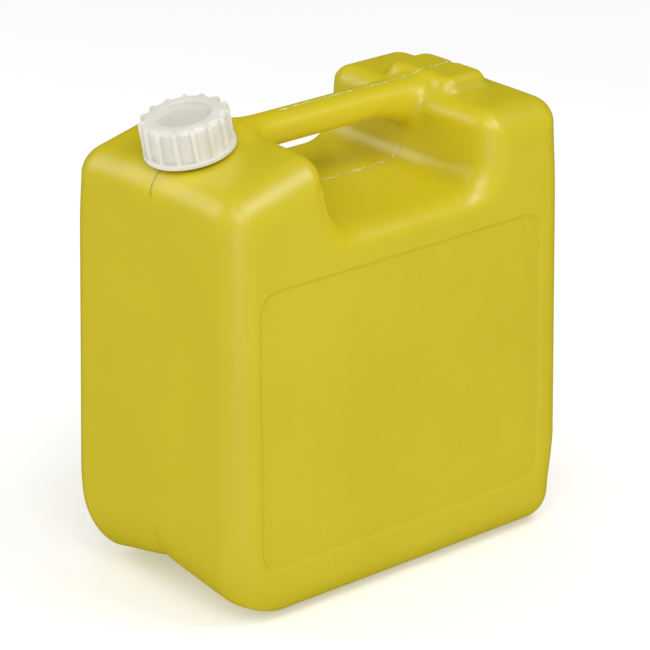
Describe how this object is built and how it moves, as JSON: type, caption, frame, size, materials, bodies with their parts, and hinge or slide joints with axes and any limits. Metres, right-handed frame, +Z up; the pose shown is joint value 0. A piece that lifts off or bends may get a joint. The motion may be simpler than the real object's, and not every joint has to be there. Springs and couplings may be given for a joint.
{
  "type": "jerry can",
  "caption": "Flat yellow plastic jerry can with a through handle, a tilted threaded neck at one end and a ribbed white screw cap.",
  "frame": {"origin": "centre of the body's footprint, on the plane the two feet stand on", "axes": "+Z up, the body's length along X with the neck and cap at -X, its width along Y"},
  "size_m": [0.29, 0.172, 0.3356],
  "materials": {
    "can": "satin yellow polyethylene",
    "cap": "satin off-white polypropylene",
    "liner": "foamed polyethylene sealing disc"
  },
  "bodies": {
    "can": {"can_body": "can", "handle": "can", "neck": "can"},
    "seal": {"liner": "liner"},
    "closure": {"cap": "cap"}
  },
  "joints": [
    {"name": "cap_lift", "type": "slide", "parent": "can", "child": "seal", "axis": [-0.2181, 0, 0.9759], "range_m": [0, 0.024]},
    {"name": "cap_turn", "type": "hinge", "parent": "seal", "child": "closure", "pos_m": [-0.1104, 0, 0.3064], "axis": [-0.2181, 0, 0.9759], "range_deg": [0, 1440]}
  ],
  "couplings": [
    {"joint": "cap_lift", "follows": "cap_turn", "m_per_rad": 0.00095493}
  ]
}
